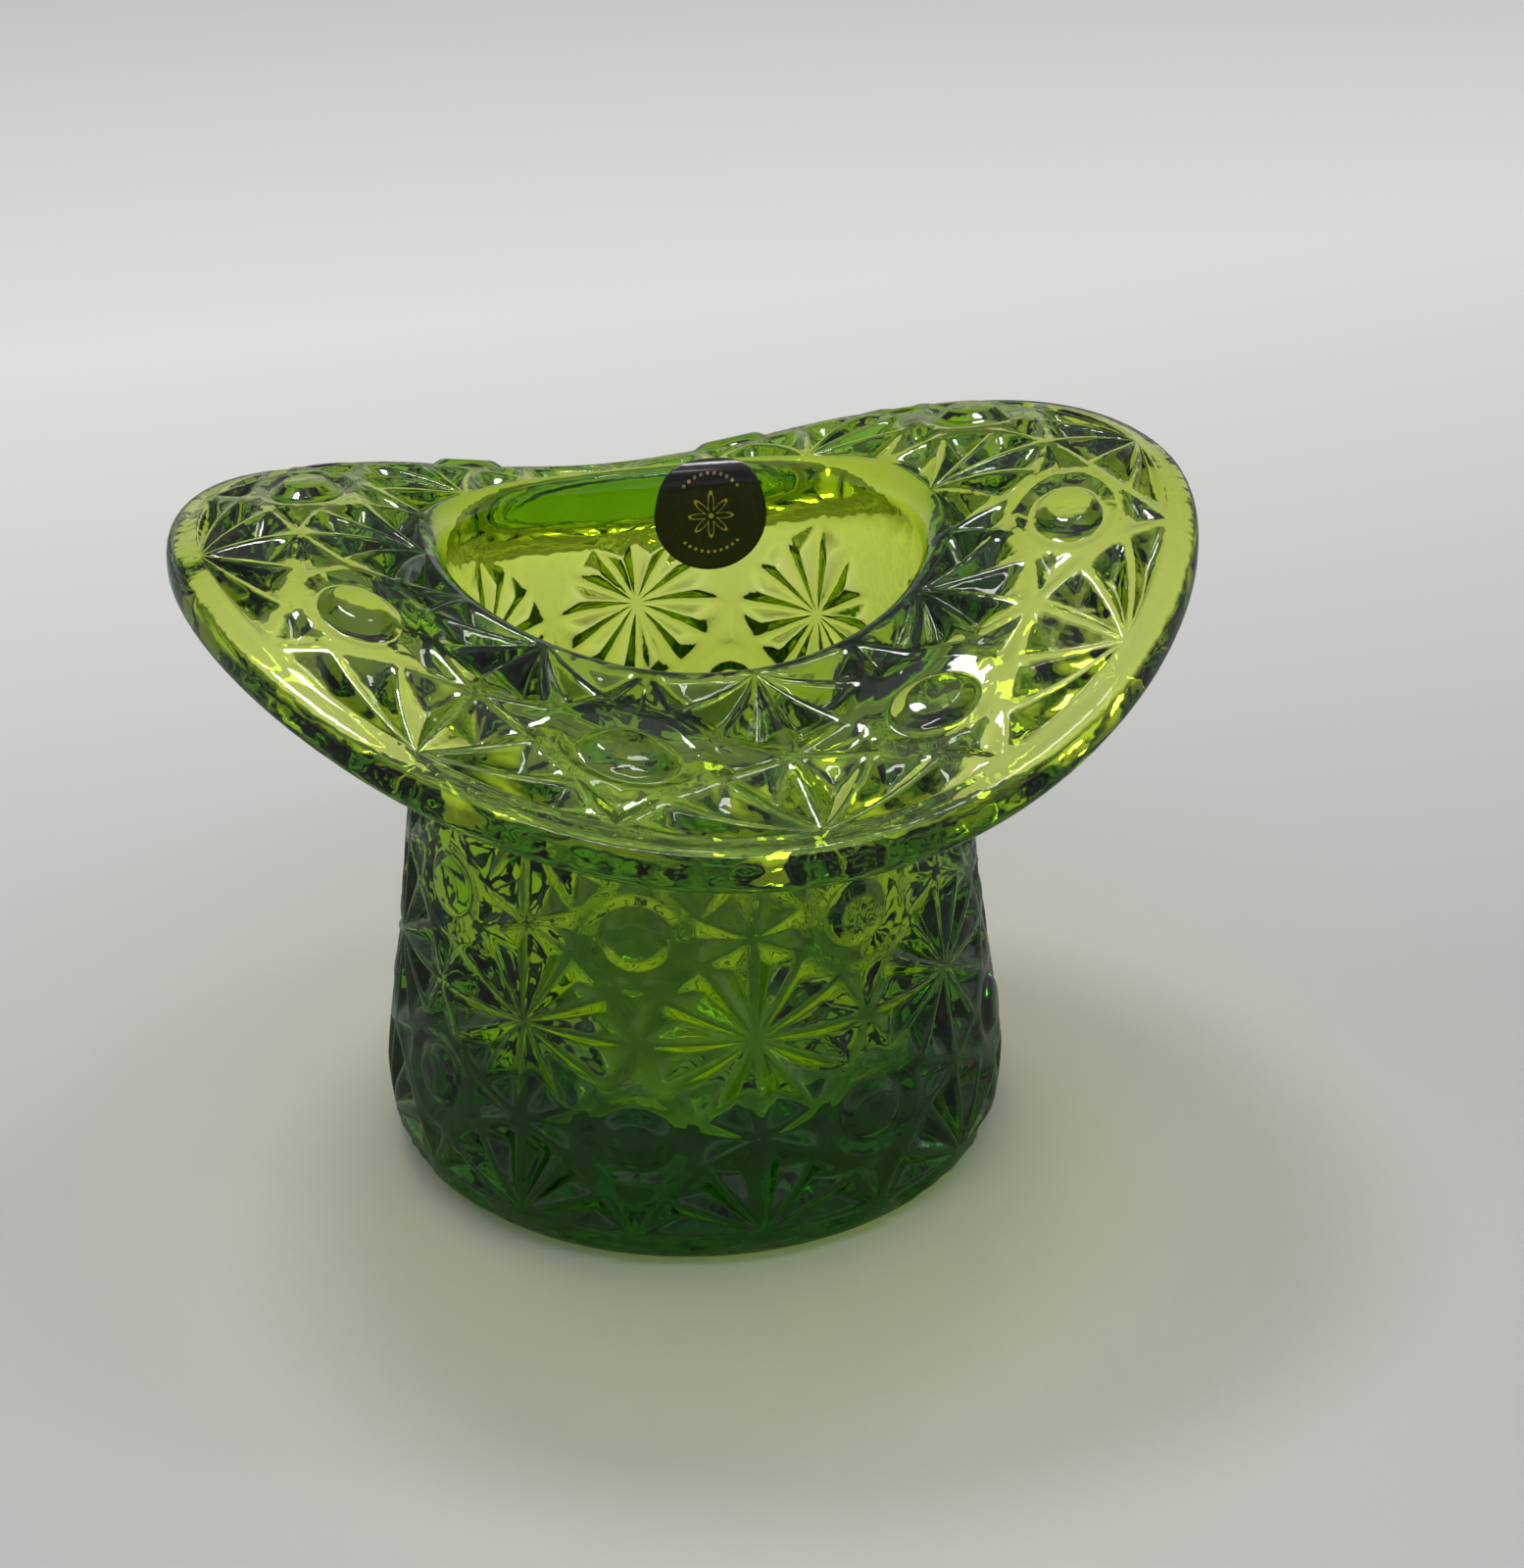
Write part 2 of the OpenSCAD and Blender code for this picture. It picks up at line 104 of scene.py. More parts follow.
# Rings around a button, then shares of the way from its foot to the stars.
DISC_RINGS = np.array([0, 0.088, 0.105, 0.135, 0.158, 0.172, 0.215])
PIT_RINGS = np.array([0.2, 0.4, 0.7, 0.88, 1.0])
# Rows of points in each plain part of the section.
ROWS = dict(base=6, foot=14, under=9, rim=19, border=3, roll=11, wall=15, corner=9, floor=6)

# Label's profile: where its flat part ends, rings on it, points around, steps in which the mouth's
# rounding is measured, then shares of the radius and of the thickness around its edge.
LABEL_FLAT, LABEL_RINGS, LABEL_SIDES, ROLL_STEPS = 0.97, 12, 72, 8
EDGE_SHARE = np.array([0.985, 0.996, 1.0, 0.996, 0.985])
EDGE_DEPTH = np.array([0.96, 0.8, 0.5, 0.2, 0.04])
# Ornament of the label, in shares of its radius: petals, the line's mean radius, swing and half
# width, and the heart; dots in a full ring, the ring, a dot and where the two rows begin; and the
# share of the thickness above which the foil is printed.
PETALS, PETAL_R, PETAL_SWING, PETAL_LINE, HEART_R = 8.0, 0.25, 0.13, 0.028, 0.05
DOTS, DOT_RING, DOT_R, DOT_ROW, PRINT_FROM = 36, 0.66, 0.03, 0.45, 0.9

# Glass: the colour that its volume lets through, density, refraction and the tint of its shadow.
# Then white and the colours of the foil.
GLASS_TINT, GLASS_DENSITY, GLASS_IOR = (0.812, 0.906, 0.0, 1.0), 430.0, 1.52
SHADOW_TINT = (0.49, 0.35, 0.95, 1.0)
WHITE, BLACK_FOIL, GOLD = (1.0, 1.0, 1.0, 1.0), (0.012, 0.012, 0.011, 1.0), (0.62, 0.47, 0.22, 1.0)

# Floor: radii of its rings, gap under the hat in metres, painted light and shade from front to
# back as pairs of place and grey (painted shade around the hat, a painted bright band behind
# it) with the place's scale and start, share of blue, the grey that glass mirrors (a painted
# shade in its reflections), roughness.
FLOOR_RINGS, FLOOR_SIDES, FLOOR_GAP = np.array([[0.0], [400.0], [2000.0]]), 64, 0.00002
FLOOR_PAINTED_LIGHT = (0.0, 0.66), (0.25, 0.57), (0.42, 0.88), (0.62, 0.63)
TONE_SCALE, TONE_START = 0.8, 0.25
FLOOR_BLUE, FLOOR_MIRRORED_SHADE, FLOOR_ROUGH = 0.985, (0.25, 0.25, 0.25, 1.0), 0.6
# Lamps: name, place in metres, width and height, watts. All shine on LAMP_AIM.
LAMP_AIM = (0, 0, 0.03)
LAMPS = (
    ("overhead", (-0.12, 0.30, 0.90), (0.24, 0.24), 2.6),
    ("beside", (0.28, 0.15, 0.95), (0.18, 0.18), 0.6),
    ("before", (-0.05, -0.45, 0.85), (0.70, 0.05), 1.0),
)
# Surroundings: light on matt things, and what glass shows, as pairs of height and grey.
SKY_LIGHT, SKY_TONES = 0.44, ((0.1, 0.50), (0.35, 0.20), (0.65, 0.22), (0.92, 0.80))
# Photographed view: turn around the hat, pitch, swing, roll, distance and height in metres; then
# the picture's size, focal length and the middle of the view in its pixels, and the camera's sensor
# and its nearest and farthest distance.
VIEW_TURN, VIEW_PITCH, VIEW_SWING, VIEW_ROLL = np.radians(-11.45), np.radians(28.15), 0.008, -0.02
VIEW_FAR, VIEW_HIGH = 0.2939, 0.18825
PICTURE_W, PICTURE_H, FOCAL, MIDDLE_X, MIDDLE_Y = 1555, 1600, 3758, 730, 828
SENSOR, CLIP = 36.0, (0.01, 50.0)


def crown_at(z):
    """Radius of the crown: a parabola below the waist, above it a power that ends at the neck."""
    low = CROWN_R - FOOT_TUCK * ((WAIST_Z - z) / (WAIST_Z - FOOT_Z)) ** 2
    left = np.clip(1 - (z - WAIST_Z) / (NECK_Z - WAIST_Z), 0, 1)
    return np.where(z < WAIST_Z, low, NECK_R + (CROWN_R - NECK_R) * left**CROWN_CURVE)


def well_at(z):
    """Radius of the hollow: a straight line from the floor's corner up to the mouth."""
    return FLOOR_R + DRAFT * (z - CORNER_Z) / (WELL_TOP - CORNER_Z)


def back_curl(phi):
    """How far the rim curls up at the back: the square of the sine, for its positive half, times a
    constant plus the square of the cosine."""
    return np.maximum(np.sin(phi), 0) ** 2 * (BACK_RISE + BACK_WINGS * np.cos(phi) ** 2)


def top_z(t, phi):
    """Height of the brim's top: a parabola in t from mouth to rim, plus a parabola in t times the
    cosine of twice the angle for the wave, minus t times the sine for the tip, plus a parabola in t
    times the curl of the back."""
    rise = MOUTH_WAVE + (RIM_WAVE - MOUTH_WAVE + WAVE_DOME) * t - WAVE_DOME * t**2
    mean = MOUTH_Z + BRIM_DOME * t - (BRIM_DROP + BRIM_DOME) * t**2
    return mean + rise * np.cos(2 * phi) - BRIM_TIP * t * np.sin(phi) + back_curl(phi) * t * (2 - t)


def top_slope(t, phi):
    """Slope of the brim's top along the radius, the derivative of its height."""
    rise = RIM_WAVE - MOUTH_WAVE + WAVE_DOME - 2 * WAVE_DOME * t
    mean = BRIM_DOME - 2 * (BRIM_DROP + BRIM_DOME) * t
    tip = 2 * back_curl(phi) * (1 - t) - BRIM_TIP * np.sin(phi)
    return (mean + rise * np.cos(2 * phi) + tip) / BRIM_W


def under_z(t, phi):
    """Height of the brim's underside: its top less a thickness that falls in a line to the rim."""
    return top_z(t, phi) - BRIM_T - NECK_EXTRA * (1 - t)


def bend(a, b, c, s):
    """Quadratic curve from a to c that leaves towards b, each a pair of radius and height."""
    return [p * (1 - s) ** 2 + q * 2 * s * (1 - s) + r * s**2 for p, q, r in zip(a, b, c)]


def roll_ends(phi):
    """The three points that shape the mouth's rounding: on the wall, the corner, on the brim."""
    z = top_z(0, phi)
    r = well_at(z - ROLL_H)
    return (r, z - ROLL_H), (r, z - (MOUTH_R - r) * top_slope(0, phi)), (MOUTH_R + 0 * z, z)


def turned(r, z, phi):
    """Radius, height and angle as points in space."""
    r, z, phi = np.broadcast_arrays(r, z, phi)
    return np.stack([r * np.cos(phi), r * np.sin(phi), z], axis=-1)


def soft_floor(x, e):
    """Zero below -e, x above e, and the parabola that joins them between."""
    return np.where(x > e, x, np.where(x < -e, 0, (x + e) ** 2 / (4 * e)))


def soft_abs(x, e):
    """Length of x with its corner rounded to a hyperbola."""
    return np.sqrt(x**2 + e**2) - e


def soft_least(a, b):
    """The smaller of two values, with the corner where they are equal rounded to a hyperbola."""
    return 0.5 * (a + b) - 0.5 * np.sqrt((a - b) ** 2 + CORNER)


def outline(a):
    """Distance from a star's centre to its outline at an angle: straight edges between corners."""
    fold = abs(a - np.pi / 2 * np.round(a / (np.pi / 2)))
    slanted = STAR_TIP * np.cos(STAR_SLANT) / np.cos(fold - STAR_SLANT)
    between = STAR_SIDE * np.cos(TWELFTH / 2) / np.cos(fold - np.pi / 4)
    return np.where(fold < TWELFTH, slanted, between)


def cut_axis(a):
    """Angle of the middle of the cut that an angle falls in."""
    return TWELFTH * (np.floor(a / TWELFTH + 1e-9) + 0.5)


def cut_lift(x, y):
    """Depth of a star at a place in its outline: twelve cuts between ridges that widen outwards.
    Each cut is a three-sided pit: two long faces from the ridges, an end face from the outline."""
    a = np.arctan2(y, x)
    axis = cut_axis(a)
    along = x * np.cos(axis) + y * np.sin(axis)
    across = y * np.cos(axis) - x * np.sin(axis)
    spread = np.sin(TWELFTH / 2) - RIDGE_GROW
    side = along * spread - soft_abs(across, CREASE) * np.cos(TWELFTH / 2) - RIDGE_LEAST
    side = side / (CUT_PEAK * outline(axis) * spread - RIDGE_LEAST)
    end = (CUT_END - np.hypot(x, y) / outline(a)) / (CUT_END - CUT_PEAK)
    return -CUT_DEPTH * soft_floor(soft_least(side, end), RIDGE_ROUND)


def button_lift(x, y):
    """Height around a button: straight lines from its flat top down to a hollow ring and up again,
    and a three-sided pit towards each tip of the space between the stars."""
    disc = np.interp(np.hypot(x, y), BUTTON_R, BUTTON_LIFT)
    far, near = np.maximum(abs(x), abs(y)), np.minimum(abs(x), abs(y))
    cos, sin = np.cos(STAR_SLANT), np.sin(STAR_SLANT)
    side = (STAR_TIP - far) * sin - soft_abs(near, CREASE) * cos - ARM_HALF
    side = side / ((STAR_TIP - PIT_PEAK) * sin - ARM_HALF)
    base = (far - PIT_BASE) / (PIT_PEAK - PIT_BASE)
    return disc - PIT_DEPTH * soft_floor(soft_least(side, base), RIDGE_ROUND)


def crown_spot(band):
    """A band of the crown: u counts stars around, v rises from one row of stars to the next."""
    def spot(u, v, lift):
        z = FOOT_Z + (band + v) * STAR_PITCH
        return turned(crown_at(z) + lift, z, u * 2 * np.pi / STARS)
    return spot


def neck_spot(u, v, lift):
    """The band on the neck: v climbs the straight neck, then follows the hollow curve out to the
    underside of the brim."""
    phi = u * 2 * np.pi / STARS
    straight = NECK_PLAIN / STAR_PITCH
    under = under_z(CURVE_T, phi)
    mid = NECK_R, under - NECK_CURVE * top_slope(CURVE_T, phi)
    s = np.clip((v - straight) / (1 - straight), 0, 1)
    r, z = bend((NECK_R, NECK_Z), mid, (NECK_R + NECK_CURVE, under), s)
    z = np.where(v < straight, TOP_STAR_Z + v * STAR_PITCH, z)
    return turned(np.where(v < straight, crown_at(z), r) + lift, z, phi)


def brim_spot(u, v, lift):
    """The brim's relief: u counts stars around from the turn that hand work gave the brim, v runs
    in from the border to the mouth as a parabola."""
    phi = u * 2 * np.pi / STARS + BRIM_TURN
    t = BORDER_T * (1 - (1 - STAR_SKEW) * v - STAR_SKEW * v**2)
    return turned(MOUTH_R + BRIM_W * t, top_z(t, phi) + lift, phi)


# Bands of the pattern: the surface, how high the mould seam stands at each v, multiples for the
# cuts of both rows and of the upper row alone, and for the buttons. The seam fades in over the
# lowest fifth of the lowest band and out over the lower half of the neck.
BANDS = (
    (crown_spot(0), lambda v: np.clip(5 * v, 0, 1), CROWN_DEEP, 1, 1),
    (crown_spot(1), lambda v: 1 + 0 * v, CROWN_DEEP, 1, 1),
    (neck_spot, lambda v: np.clip(1 - 2 * v, 0, 1), CROWN_DEEP, 0, 0),
    (brim_spot, lambda v: 0 * v, BRIM_DEEP, 1, BRIM_BUTTON),
)


def star_angles():
    """Angles of the rays of half a star at each ring: level at both ends, else along the edges of
    the cuts, so that faces meet at the ridges."""
    middle = np.repeat(TWELFTH * (np.arange(6) + 0.5), len(CUT_WAYS))[:, None]
    way = np.tile(CUT_WAYS, 6)[:, None]
    along = np.maximum(RINGS, ALONG_LEAST)[None, :] * outline(middle)
    wide = (np.sin(TWELFTH / 2) - RIDGE_GROW - RIDGE_LEAST / along) / np.cos(TWELFTH / 2)
    edge = np.arctan(np.maximum(wide, WIDE_LEAST))
    size = np.where(abs(way) < 1, abs(way) * edge, edge + (abs(way) - 1) * (TWELFTH / 2 - edge))
    return np.concatenate([np.zeros((1, len(RINGS))), middle + np.sign(way) * size])


def star_grids(spot, seam, deep, upper):
    """Both rows of half stars of a band as grids of ray by ring. Every second star has a fine mould
    seam along its upright ray, as high as seam gives it at each v; deep multiplies the cuts and
    upper is zero for a plain upper row."""
    a = star_angles()
    r = RINGS * outline(a)
    x, y = r * np.cos(a), r * np.sin(a)
    lift, middle = deep * cut_lift(x, y), SEAM * (abs(x) < 1e-6)
    for i in range(STARS):
        even = 1 - i % 2
        yield spot(i + x, y, lift + even * middle * seam(y))
        yield spot(i + x, 1 - y, upper * lift + even * middle * seam(1 - y))[::-1]


def button_grids(spot, height):
    """The spaces between the stars as grids of ring by corner: circles out to the disc's foot, then
    straight ways from the circle to the outlines of four stars; height is zero for plain ones."""
    a = star_angles()[:, -1]
    a = a[a < np.pi / 2 + 1e-6]
    edge = np.stack([outline(a) * np.cos(a) - 0.5, outline(a) * np.sin(a) - 0.5], axis=-1)
    quarter = np.array([[0, -1], [1, 0]])
    turns = [edge[:-1] @ np.linalg.matrix_power(quarter, k) for k in range(4)]
    edge = np.concatenate(turns + [edge[:1]])
    way = edge / np.linalg.norm(edge, axis=-1, keepdims=True)
    disc = DISC_RINGS[:, None, None] * way
    space = disc[-1] + PIT_RINGS[:, None, None] * (edge - disc[-1])
    x, y = np.moveaxis(np.concatenate([disc, space]), -1, 0)
    lift = height * button_lift(x, y)
    for i in range(STARS):
        yield spot(i + 0.5 + x, 0.5 + y, lift)


def relief_grids():
    """The stars of all bands, then the spaces between them."""
    for spot, seam, deep, upper, _ in BANDS:
        yield from star_grids(spot, seam, deep, upper)
    for spot, _, _, _, height in BANDS:
        yield from button_grids(spot, height)


def span(start, end, part):
    """Evenly spaced steps as a column, for the rows of a part of the section."""
    return np.linspace(start, end, ROWS[part])[:, None]


def smooth_grids():
    """The plain parts of the section, walked from the base out, over the rim and down to the floor,
    each a grid of step by angle. The foot is an ellipse with the lower ends of the lowest stars in
    it. The rim is a squared circle, powers of the cosine and the sine, and its upper half takes up
    the brim's turn."""
    phi = LOOP[None, :]
    yield turned(BASE_R * span(0, 1, "base"), 0, phi)
    a, u = span(0, np.pi / 2, "foot"), phi * STARS / (2 * np.pi)
    down = FOOT_Z * (np.pi / 2 - a) / STAR_PITCH
    fade = np.clip((a - FOOT_FADE) / FOOT_FADE, 0, 1)
    sunk = CROWN_DEEP * cut_lift(u - np.round(u), down) * fade
    r, z = BASE_R + (FOOT_ROUND + sunk) * np.sin(a), FOOT_Z - (FOOT_Z + sunk) * np.cos(a)
    yield turned(r, z, phi)
    t = span(CURVE_T, 1, "under")
    yield turned(MOUTH_R + BRIM_W * t, under_z(t, phi), phi)
    a = span(-np.pi / 2, np.pi / 2, "rim")
    half = BRIM_T / 2
    twist = phi + BRIM_TURN * np.clip(a / (np.pi / 2), 0, 1)
    phi = phi + BRIM_TURN
    out, up = np.cos(a) ** RIM_SQUARE, np.sign(a) * abs(np.sin(a)) ** RIM_SQUARE
    yield turned(RIM_R + half * out, top_z(1, twist) + half * (up - 1), twist)
    t = span(1, BORDER_T, "border")
    yield turned(MOUTH_R + BRIM_W * t, top_z(t, phi), phi)
    low, mid, high = roll_ends(phi)
    yield turned(*bend(low, mid, high, span(1, 0, "roll")), phi)
    z = CORNER_Z + (low[1] - CORNER_Z) * span(1, 0, "wall")
    yield turned(well_at(z), z, phi)
    a = span(0, np.pi / 2, "corner")
    yield turned(FLOOR_R - FLOOR_ROUND * (1 - np.cos(a)), CORNER_Z - FLOOR_ROUND * np.sin(a), phi)
    yield turned((FLOOR_R - FLOOR_ROUND) * span(1, 0, "floor"), FLOOR_T, phi)


def label_grid():
    """The label as one closed sheet: a profile across its thickness, from the front's middle over
    the rounded edge to the back's middle, carried around the disc and laid along wall and mouth."""
    flat = np.linspace(0, LABEL_FLAT, LABEL_RINGS)
    share = np.concatenate([flat, EDGE_SHARE, flat[::-1]])[:, None]
    depth = np.concatenate([flat * 0 + 1, EDGE_DEPTH, flat * 0])[:, None]
    a = np.linspace(0, 2 * np.pi, LABEL_SIDES + 1)[None, :]
    x, y = LABEL_R * share * np.cos(a), LABEL_R * share * np.sin(a)
    phi = np.pi / 2 - LABEL_TURN - x / WELL_R
    down = LABEL_DROP + LABEL_R - y
    low, mid, high = roll_ends(phi)
    steps = [np.stack(bend(low, mid, high, s)) for s in np.linspace(0, 1, ROLL_STEPS + 1)]
    way = sum(np.hypot(*(q - p)) for p, q in zip(steps, steps[1:]))
    s = np.clip(1 - down / way, 0, None)
    r, z = bend(low, mid, high, s)
    deep = down > way
    z = np.where(deep, low[1] - (down - way), z)
    r = np.where(deep, well_at(z), r)
    run, rise = [(q - p) * (1 - s) + (w - q) * s for p, q, w in zip(low, mid, high)]
    off = (LABEL_SEAT + LABEL_T * depth) / np.hypot(run, rise)
    marks = np.stack(np.broadcast_arrays(x / LABEL_R, y / LABEL_R, depth), axis=-1)
    return turned(r - rise * off, z + run * off, phi), marks


def shown(name, data):
    """An object with its data, linked into the scene."""
    made = bpy.data.objects.new(name, data)
    bpy.context.scene.collection.objects.link(made)
    return made


def mesh_piece(name, grids, material, marks=None):
    """One closed mesh from grids that share edges: points closer than a ten-thousandth of a
    millimetre become one, and faces that close to a line at a pole are dropped or become triangles.
    Marks, a vector for each grid point, are kept as the attribute label_place."""
    points, quads, start = [], [], 0
    for grid in grids:
        rows, cols = grid.shape[:2]
        index = start + np.arange(rows * cols).reshape(rows, cols)
        corners = index[:-1, :-1], index[:-1, 1:], index[1:, 1:], index[1:, :-1]
        quads.append(np.stack(corners, axis=-1).reshape(-1, 4))
        points.append(grid.reshape(-1, 3))
        start += rows * cols
    points, quads = np.concatenate(points), np.concatenate(quads)
    places = np.round(points, MERGE_DIGITS) + 0.0
    _, first, same = np.unique(places, axis=0, return_index=True, return_inverse=True)
    quads = same.ravel()[quads]
    fresh = quads != np.roll(quads, 1, axis=1)
    full = quads[fresh.all(axis=1)]
    three = fresh.sum(axis=1) == 3
    triangles = quads[three][fresh[three]].reshape(-1, 3)
    mesh = bpy.data.meshes.new(name)
    mesh.from_pydata((points[first] * MM).tolist(), [], full.tolist() + triangles.tolist())
    mesh.polygons.foreach_set("use_smooth", np.ones(len(mesh.polygons), bool))
    if marks is not None:
        kept = mesh.attributes.new("label_place", "FLOAT_VECTOR", "POINT")
        kept.data.foreach_set("vector", marks.reshape(-1, 3)[first].ravel())
    mesh.materials.append(material)
    return shown(name, mesh)


def fill(tree, made, at):
    """Sets a node's inputs by name or number, or links them where the value is a socket."""
    for key, value in at.items():
        if isinstance(value, bpy.types.NodeSocket):
            tree.links.new(value, made.inputs[key])
        else:
            made.inputs[key].default_value = value


def node(tree, kind, at=None, **values):
    """A new shader node with its settings and its inputs."""
    made = tree.nodes.new(kind)
    for key, value in values.items():
        setattr(made, key, value)
    fill(tree, made, at or {})
    return made


def calc(tree, operation, *values):
    """One step of arithmetic in a shader tree."""
    return node(tree, "ShaderNodeMath", dict(enumerate(values)), operation=operation).outputs[0]


def length(tree, a, b):
    """Length of two steps at right angles, in a shader tree."""
    return calc(tree, "SQRT", calc(tree, "MULTIPLY_ADD", a, a, calc(tree, "MULTIPLY", b, b)))


def noise(tree, place, scale, detail):
    """Cloudy noise at a place, with a scale in waves per metre."""
    at = {"Vector": place, "Scale": scale, "Detail": detail}
    return node(tree, "ShaderNodeTexNoise", at).outputs[0]


def bumps(tree, height, strength, distance):
    """The normal that a height gives, with its distance in metres."""
    at = {"Strength": strength, "Distance": distance, "Height": height}
    return node(tree, "ShaderNodeBump", at).outputs[0]


def blend(tree, factor, first, second):
    """Two colours mixed by a factor."""
    at = {"Factor": factor, 6: first, 7: second}
    return node(tree, "ShaderNodeMix", at, data_type="RGBA").outputs[2]


def grey_ramp(tree, factor, tones, blue=1.0):
    """Greys along a factor, from pairs of place and grey, with the blue as a share of the grey."""
    ramp = node(tree, "ShaderNodeValToRGB", {0: factor})
    stops = ramp.color_ramp.elements
    for at, _ in tones[1:-1]:
        stops.new(at)
    for stop, (at, grey) in zip(stops, tones):
        stop.position, stop.color = at, (grey, grey, grey * blue, 1.0)
    return ramp.outputs[0]


def fresh_material(name):
    """A new material with its shader tree and its main shader."""
    material = bpy.data.materials.new(name)
    material.use_nodes = True
    return material, material.node_tree, material.node_tree.nodes["Principled BSDF"]


def handled_surface():
    """Group: faint smudges and rubbed places as a roughness."""
    group = bpy.data.node_groups.new("handled_surface", "ShaderNodeTree")
    for name, kind, way in (
        ("Place", "NodeSocketVector", "INPUT"),
        ("Least", "NodeSocketFloat", "INPUT"),
        ("Smudge", "NodeSocketFloat", "INPUT"),
        ("Roughness", "NodeSocketFloat", "OUTPUT"),
    ):
        group.interface.new_socket(name=name, in_out=way, socket_type=kind)
    inlet, outlet = group.nodes.new("NodeGroupInput").outputs, group.nodes.new("NodeGroupOutput")
    cloud = noise(group, inlet["Place"], 120.0, 4.0)
    spread = node(group, "ShaderNodeMapRange", {0: cloud, 1: 0.45, 2: 0.75, 3: 0.0, 4: 1.0})
    rough = calc(group, "MULTIPLY_ADD", spread.outputs[0], inlet["Smudge"], inlet["Least"])
    fill(group, outlet, {"Roughness": rough})
    return group


def roughness(tree, handled, place, least, smudge):
    """The roughness of a handled surface at a place: its least value, and what smudges add."""
    at = {"Place": place, "Least": least, "Smudge": smudge}
    return node(tree, "ShaderNodeGroup", at, node_tree=handled).outputs["Roughness"]


def green_glass(handled):
    """Yellow-green glass: clear refraction with absorption in the volume, fine chill ripples and a
    slow unevenness in the surface, and faint smudges. Lamps shine through it, so that its shadow is
    tinted."""
    material, tree, shader = fresh_material("green_glass")
    place = node(tree, "ShaderNodeTexCoord").outputs["Object"]
    ripple, slow = noise(tree, place, 700.0, 1.0), noise(tree, place, 170.0, 1.0)
    height = calc(tree, "MULTIPLY_ADD", slow, 4.0, ripple)
    fill(tree, shader, {
        "Base Color": WHITE,
        "IOR": GLASS_IOR,
        "Transmission Weight": 1.0,
        "Roughness": roughness(tree, handled, place, 0.015, 0.04),
        "Normal": bumps(tree, height, 0.35, 0.00013),
    })
    tint = node(tree, "ShaderNodeVolumeAbsorption", {"Color": GLASS_TINT, "Density": GLASS_DENSITY})
    shaded = node(tree, "ShaderNodeLightPath").outputs["Is Shadow Ray"]
    through = node(tree, "ShaderNodeBsdfTransparent", {"Color": SHADOW_TINT})
    both = {0: shaded, 1: shader.outputs[0], 2: through.outputs[0]}
    fill(tree, tree.nodes["Material Output"], {
        "Surface": node(tree, "ShaderNodeMixShader", both).outputs[0],
        "Volume": tint.outputs[0],
    })
    return material


def label_foil(handled):
    """Glossy black foil with fine crinkles, and a small gold rosette between two rows of gold dots.
    The rosette is a line at a radius that swings with the cosine of the angle."""
    material, tree, shader = fresh_material("label_foil")
    spot = node(tree, "ShaderNodeAttribute", attribute_name="label_place").outputs["Vector"]
    x, y, front = node(tree, "ShaderNodeSeparateXYZ", {0: spot}).outputs
    far, angle = length(tree, x, y), calc(tree, "ARCTAN2", y, x)
    wave = calc(tree, "COSINE", calc(tree, "MULTIPLY", angle, PETALS))
    petal = calc(tree, "SUBTRACT", far, calc(tree, "MULTIPLY_ADD", wave, PETAL_SWING, PETAL_R))
    rosette = calc(tree, "LESS_THAN", calc(tree, "ABSOLUTE", petal), PETAL_LINE)
    heart = calc(tree, "LESS_THAN", far, HEART_R)
    step = calc(tree, "FRACT", calc(tree, "MULTIPLY", angle, DOTS / (2 * np.pi)))
    turn = calc(tree, "MULTIPLY", calc(tree, "SUBTRACT", step, 0.5), 2 * np.pi / DOTS)
    away = length(tree, calc(tree, "MULTIPLY", turn, far), calc(tree, "SUBTRACT", far, DOT_RING))
    rows = calc(tree, "GREATER_THAN", calc(tree, "ABSOLUTE", y), DOT_ROW)
    dots = calc(tree, "MULTIPLY", calc(tree, "LESS_THAN", away, DOT_R), rows)
    gold = calc(tree, "MAXIMUM", calc(tree, "MAXIMUM", rosette, heart), dots)
    gold = calc(tree, "MULTIPLY", gold, calc(tree, "GREATER_THAN", front, PRINT_FROM))
    place = node(tree, "ShaderNodeTexCoord").outputs["Object"]
    height = calc(tree, "MULTIPLY_ADD", gold, 0.6, noise(tree, place, 1400.0, 3.0))
    fill(tree, shader, {
        "Base Color": blend(tree, gold, BLACK_FOIL, GOLD),
        "Metallic": gold,
        "Roughness": roughness(tree, handled, place, 0.14, 0.2),
        "Normal": bumps(tree, height, 0.3, 0.00005),
    })
    return material


def pale_floor():
    """Material of the floor: a matt pale grey with painted light and shade: a painted shade around
    the hat, a painted bright band behind it, and a painted shade where glass mirrors it."""
    material, tree, shader = fresh_material("pale_floor")
    place = node(tree, "ShaderNodeTexCoord").outputs["Object"]
    back = node(tree, "ShaderNodeSeparateXYZ", {0: place}).outputs[1]
    along = calc(tree, "MULTIPLY_ADD", back, TONE_SCALE, TONE_START)
    path = node(tree, "ShaderNodeLightPath").outputs
    # Painted shade in reflections: where glass mirrors the floor, the floor shows a darker grey.
    mirrored = calc(tree, "GREATER_THAN", path["Is Glossy Ray"], path["Is Transmission Ray"])
    # Painted light and shade: the grey falls around the hat and rises in a band behind it.
    tone = grey_ramp(tree, along, FLOOR_PAINTED_LIGHT, FLOOR_BLUE)
    fill(tree, shader, {
        "Base Color": blend(tree, mirrored, tone, FLOOR_MIRRORED_SHADE), "Roughness": FLOOR_ROUGH})
    return material


def floor_piece():
    """A flat disc four metres across, a grid of radius by angle."""
    phi = np.linspace(0, 2 * np.pi, FLOOR_SIDES + 1)[None, :]
    return mesh_piece("floor", [turned(FLOOR_RINGS, 0, phi)[:, ::-1]], pale_floor())


